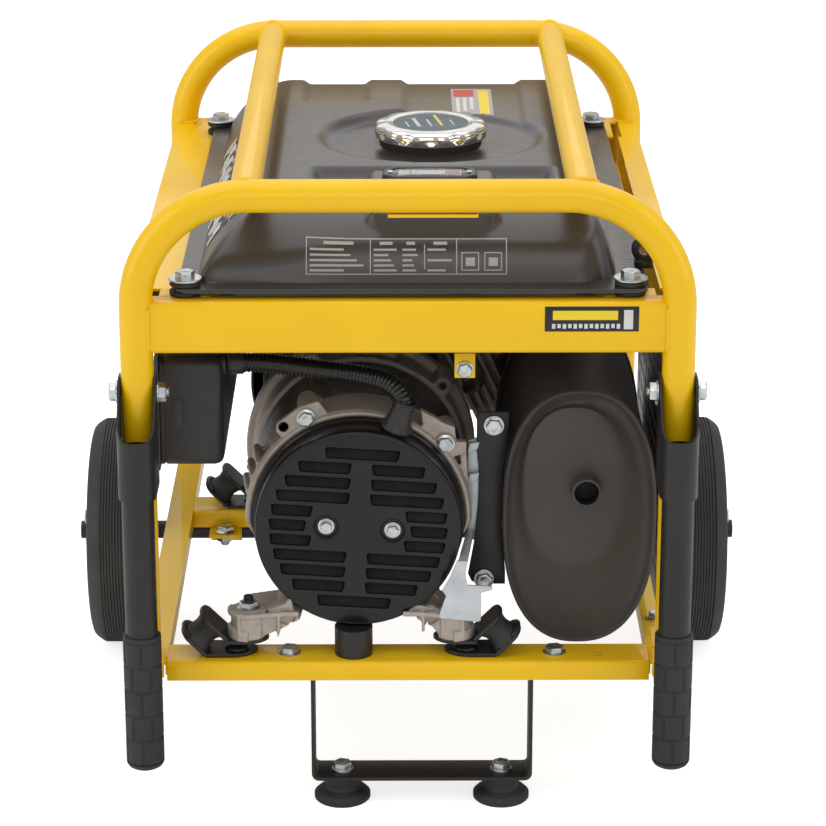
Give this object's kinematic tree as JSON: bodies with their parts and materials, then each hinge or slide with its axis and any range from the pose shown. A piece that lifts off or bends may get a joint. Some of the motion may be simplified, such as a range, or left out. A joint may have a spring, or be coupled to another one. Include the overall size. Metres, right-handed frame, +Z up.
{
  "type": "portable generator",
  "caption": "Open-frame portable petrol generator: tubular hoop frame, fuel tank on a tray, alternator and engine on rubber mounts, side muffler, wheel kit and fold-down carrying handles.",
  "frame": {"origin": "on the floor, under the middle of the whole machine's box", "axes": "+Z up, +X to the right seen from the alternator end, +Y from the alternator end towards the recoil starter"},
  "size_m": [0.584, 0.6362, 0.5147],
  "materials": {
    "frame_paint": "glossy yellow powder coat",
    "black_paint": "satin black powder coat",
    "tank_paint": "glossy dark grey paint",
    "heat_paint": "matt high temperature paint",
    "zinc": "bright zinc plate",
    "cap_chrome": "polished chrome",
    "cast_alloy": "as-cast sand texture",
    "dark_cast": "dark painted casting",
    "shaft_steel": "machined steel",
    "lamination": "stacked electrical steel",
    "copper": "enamelled copper wire",
    "tyre": "solid black rubber",
    "soft_rubber": "moulded black rubber",
    "hub_plastic": "moulded black plastic",
    "black_plastic": "textured black plastic",
    "panel": "dark grey panel paint",
    "socket": "blue moulded plastic",
    "red_plastic": "red moulded plastic",
    "gauge": "white dial under a clear lens",
    "nylon": "natural nylon"
  },
  "bodies": {
    "machine": {"near_hoop": "frame_paint", "far_hoop": "frame_paint", "top_rails": "frame_paint", "front_beam": "frame_paint", "tray_beams": "frame_paint", "bottom_rails": "frame_paint", "cross_members": "frame_paint", "foot_bracket": "black_paint", "rubber_feet": "soft_rubber", "frame_bolts": "zinc", "axle": "black_paint", "axle_clamps": "frame_paint", "tank_top": "tank_paint", "tank_pan": "tank_paint", "tank_mounts": "soft_rubber", "fuel_gauge": "gauge", "fuel_tap": "cast_alloy", "end_cover": "black_paint", "end_bracket": "cast_alloy", "shaft_bearing": "shaft_steel", "stator": "lamination", "windings": "copper", "drive_bracket": "cast_alloy", "machine_bolts": "zinc", "support_post": "soft_rubber", "mount_rubbers": "soft_rubber", "mount_plates": "black_paint", "crankcase": "dark_cast", "cylinder_head": "cast_alloy", "rocker_cover": "black_paint", "spark_plug": "soft_rubber", "fan_cowl": "black_paint", "recoil_housing": "black_paint", "carburettor": "cast_alloy", "air_filter": "black_plastic", "muffler": "heat_paint", "muffler_brackets": "black_paint", "heat_guard": "black_paint", "control_box": "black_plastic", "control_panel": "panel", "sockets": "socket", "conduit": "black_plastic"},
    "left_wheel": {"left_tyre": "tyre", "left_hub": "hub_plastic"},
    "right_wheel": {"right_tyre": "tyre", "right_hub": "hub_plastic"},
    "left_carry_handle": {"left_handle": "black_paint", "left_grip": "soft_rubber"},
    "right_carry_handle": {"right_handle": "black_paint", "right_grip": "soft_rubber"},
    "filler_cap": {"fuel_cap": "cap_chrome"},
    "tap_handle": {"tap_lever": "red_plastic"},
    "shaft_line": {"crankshaft": "shaft_steel", "rotor": "lamination", "flywheel": "shaft_steel"},
    "starter_pulley": {"recoil_pulley": "nylon"},
    "starter_grip": {"recoil_grip": "black_plastic"},
    "choke": {"choke_lever": "black_plastic"},
    "rocker_switch": {"engine_switch": "red_plastic"},
    "oil_plug": {"dipstick": "black_plastic"}
  },
  "joints": [
    {"name": "left_wheel_spin", "type": "hinge", "parent": "machine", "child": "left_wheel", "pos_m": [-0.2565, 0.0704, 0.1005], "axis": [1, 0, 0], "continuous": true},
    {"name": "right_wheel_spin", "type": "hinge", "parent": "machine", "child": "right_wheel", "pos_m": [0.2565, 0.0704, 0.1005], "axis": [1, 0, 0], "continuous": true},
    {"name": "left_handle_lift", "type": "hinge", "parent": "machine", "child": "left_carry_handle", "pos_m": [-0.2073, -0.2746, 0.347], "axis": [-1, 0, 0], "range_deg": [0, 105]},
    {"name": "right_handle_lift", "type": "hinge", "parent": "machine", "child": "right_carry_handle", "pos_m": [0.2073, -0.2746, 0.347], "axis": [-1, 0, 0], "range_deg": [0, 105]},
    {"name": "filler_cap_turn", "type": "hinge", "parent": "machine", "child": "filler_cap", "pos_m": [0.02, 0.0094, 0.48], "axis": [0, 0, 1], "range_deg": [0, 90]},
    {"name": "fuel_tap_turn", "type": "hinge", "parent": "machine", "child": "tap_handle", "pos_m": [-0.11, 0.1404, 0.362], "axis": [0, 1, 0], "range_deg": [0, 90]},
    {"name": "shaft_spin", "type": "hinge", "parent": "machine", "child": "shaft_line", "pos_m": [-0.039, -0.0746, 0.231], "axis": [0, 1, 0], "continuous": true},
    {"name": "starter_pull", "type": "slide", "parent": "machine", "child": "starter_grip", "axis": [-1, 0, 0], "range_m": [0, 0.6], "stiffness_N_per_m": 15},
    {"name": "starter_pulley_turn", "type": "hinge", "parent": "machine", "child": "starter_pulley", "pos_m": [-0.039, 0.2054, 0.231], "axis": [0, -1, 0], "range_deg": [0, 584]},
    {"name": "choke_turn", "type": "hinge", "parent": "machine", "child": "choke", "pos_m": [0.06513, 0.1374, 0.29355], "axis": [1, 0, 0], "range_deg": [0, 60]},
    {"name": "engine_switch_rock", "type": "hinge", "parent": "machine", "child": "rocker_switch", "pos_m": [-0.193, 0.0104, 0.318], "axis": [0, 1, 0], "range_deg": [0, 20]},
    {"name": "oil_plug_turn", "type": "hinge", "parent": "machine", "child": "oil_plug", "pos_m": [-0.12, 0.0154, 0.176], "axis": [1, 0, 0], "range_deg": [0, 720]}
  ],
  "couplings": [
    {"joint": "starter_pulley_turn", "follows": "starter_pull", "rad_per_m": 16.949}
  ]
}
